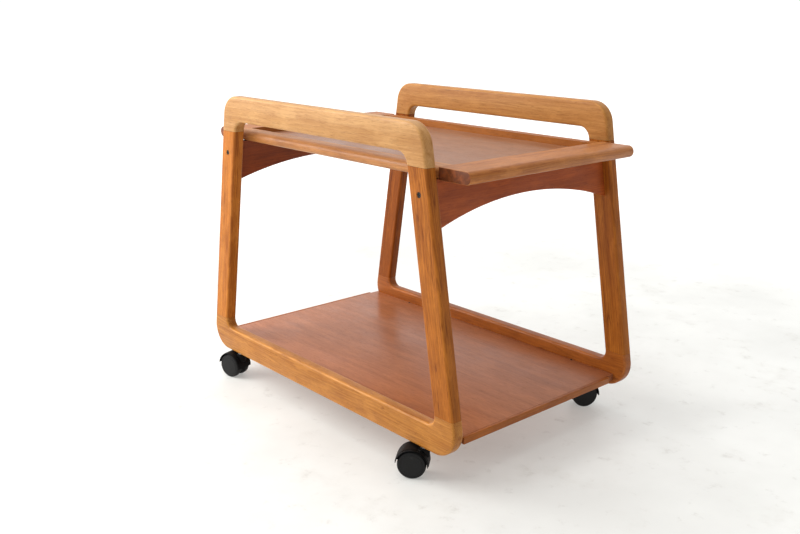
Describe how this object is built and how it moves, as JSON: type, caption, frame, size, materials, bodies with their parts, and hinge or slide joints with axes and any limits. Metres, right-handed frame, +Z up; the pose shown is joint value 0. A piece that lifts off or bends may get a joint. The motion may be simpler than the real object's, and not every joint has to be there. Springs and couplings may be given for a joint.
{
  "type": "serving trolley",
  "caption": "Serving trolley: leaning wooden side frames with rounded corners, a lift-off tray on top, a low shelf and small twin-wheel casters.",
  "frame": {"origin": "on the floor, in the middle of the trolley", "axes": "+X along the trolley towards its front end, +Y across it to the far side frame, +Z up"},
  "size_m": [0.7422, 0.5446, 0.596],
  "materials": {
    "teak_rail": "satin oil over golden teak, straight grain along the rail",
    "teak_leg": "satin oil over orange-brown teak, darker streaks along the leg",
    "teak_apron": "satin oil over dark red-brown teak",
    "teak_board": "satin oil over mid golden-brown teak, worn pale at the front",
    "teak_veneer": "satin reddish-brown teak veneer, grain along the length",
    "hardwood_tenon": "bare, planed hardwood",
    "dark_screw": "blackened steel, dull",
    "bright_steel": "zinc-plated steel, satin",
    "black_plastic": "moulded near-black plastic, slightly glossy"
  },
  "bodies": {
    "root": {"near_top_rail": "teak_rail", "near_bottom_rail": "teak_rail", "near_front_leg": "teak_leg", "near_front_upper_tenon": "hardwood_tenon", "near_front_lower_tenon": "hardwood_tenon", "near_front_apron_screw": "dark_screw", "shelf_pin_near_front": "dark_screw", "near_back_leg": "teak_leg", "near_back_upper_tenon": "hardwood_tenon", "near_back_lower_tenon": "hardwood_tenon", "near_back_apron_screw": "dark_screw", "shelf_pin_near_back": "dark_screw", "far_top_rail": "teak_rail", "far_bottom_rail": "teak_rail", "far_front_leg": "teak_leg", "far_front_upper_tenon": "hardwood_tenon", "far_front_lower_tenon": "hardwood_tenon", "far_front_apron_screw": "dark_screw", "shelf_pin_far_front": "dark_screw", "far_back_leg": "teak_leg", "far_back_upper_tenon": "hardwood_tenon", "far_back_lower_tenon": "hardwood_tenon", "far_back_apron_screw": "dark_screw", "shelf_pin_far_back": "dark_screw", "front_apron": "teak_apron", "shelf_front_lipping": "teak_board", "back_apron": "teak_apron", "shelf_back_lipping": "teak_board", "shelf_panel": "teak_veneer", "caster_near_front_socket": "bright_steel", "caster_near_front_stem": "bright_steel", "caster_near_back_socket": "bright_steel", "caster_near_back_stem": "bright_steel", "caster_far_front_socket": "bright_steel", "caster_far_front_stem": "bright_steel", "caster_far_back_socket": "bright_steel", "caster_far_back_stem": "bright_steel"},
    "tray": {"tray_front_board": "teak_board", "tray_back_board": "teak_board", "tray_near_rim": "teak_board", "tray_far_rim": "teak_board", "tray_panel": "teak_veneer"},
    "caster_near_front": {"caster_near_front_body": "black_plastic", "caster_near_front_axle": "bright_steel"},
    "near_front_outer_wheel": {"caster_near_front_outer_wheel": "black_plastic"},
    "near_front_inner_wheel": {"caster_near_front_inner_wheel": "black_plastic"},
    "caster_near_back": {"caster_near_back_body": "black_plastic", "caster_near_back_axle": "bright_steel"},
    "near_back_outer_wheel": {"caster_near_back_outer_wheel": "black_plastic"},
    "near_back_inner_wheel": {"caster_near_back_inner_wheel": "black_plastic"},
    "caster_far_front": {"caster_far_front_body": "black_plastic", "caster_far_front_axle": "bright_steel"},
    "far_front_outer_wheel": {"caster_far_front_outer_wheel": "black_plastic"},
    "far_front_inner_wheel": {"caster_far_front_inner_wheel": "black_plastic"},
    "caster_far_back": {"caster_far_back_body": "black_plastic", "caster_far_back_axle": "bright_steel"},
    "far_back_outer_wheel": {"caster_far_back_outer_wheel": "black_plastic"},
    "far_back_inner_wheel": {"caster_far_back_inner_wheel": "black_plastic"}
  },
  "joints": [
    {"name": "tray_lift", "type": "slide", "parent": "root", "child": "tray", "axis": [0, 0, 1], "range_m": [0, 0.12]},
    {"name": "near_front_swivel", "type": "hinge", "parent": "root", "child": "caster_near_front", "pos_m": [0.288, -0.22675, 0.05], "axis": [0, 0, 1], "continuous": true},
    {"name": "near_front_outer_roll", "type": "hinge", "parent": "caster_near_front", "child": "near_front_outer_wheel", "pos_m": [0.27268, -0.23961, 0.025], "axis": [0.6428, -0.766, 0], "continuous": true},
    {"name": "near_front_inner_roll", "type": "hinge", "parent": "caster_near_front", "child": "near_front_inner_wheel", "pos_m": [0.27268, -0.23961, 0.025], "axis": [0.6428, -0.766, 0], "continuous": true},
    {"name": "near_back_swivel", "type": "hinge", "parent": "root", "child": "caster_near_back", "pos_m": [-0.288, -0.22675, 0.05], "axis": [0, 0, 1], "continuous": true},
    {"name": "near_back_outer_roll", "type": "hinge", "parent": "caster_near_back", "child": "near_back_outer_wheel", "pos_m": [-0.30732, -0.23193, 0.025], "axis": [0.2588, -0.9659, 0], "continuous": true},
    {"name": "near_back_inner_roll", "type": "hinge", "parent": "caster_near_back", "child": "near_back_inner_wheel", "pos_m": [-0.30732, -0.23193, 0.025], "axis": [0.2588, -0.9659, 0], "continuous": true},
    {"name": "far_front_swivel", "type": "hinge", "parent": "root", "child": "caster_far_front", "pos_m": [0.288, 0.22675, 0.05], "axis": [0, 0, 1], "continuous": true},
    {"name": "far_front_outer_roll", "type": "hinge", "parent": "caster_far_front", "child": "far_front_outer_wheel", "pos_m": [0.278, 0.20943, 0.025], "axis": [0.866, -0.5, 0], "continuous": true},
    {"name": "far_front_inner_roll", "type": "hinge", "parent": "caster_far_front", "child": "far_front_inner_wheel", "pos_m": [0.278, 0.20943, 0.025], "axis": [0.866, -0.5, 0], "continuous": true},
    {"name": "far_back_swivel", "type": "hinge", "parent": "root", "child": "caster_far_back", "pos_m": [-0.288, 0.22675, 0.05], "axis": [0, 0, 1], "continuous": true},
    {"name": "far_back_outer_roll", "type": "hinge", "parent": "caster_far_back", "child": "far_back_outer_wheel", "pos_m": [-0.30332, 0.23961, 0.025], "axis": [-0.6428, -0.766, 0], "continuous": true},
    {"name": "far_back_inner_roll", "type": "hinge", "parent": "caster_far_back", "child": "far_back_inner_wheel", "pos_m": [-0.30332, 0.23961, 0.025], "axis": [-0.6428, -0.766, 0], "continuous": true}
  ]
}
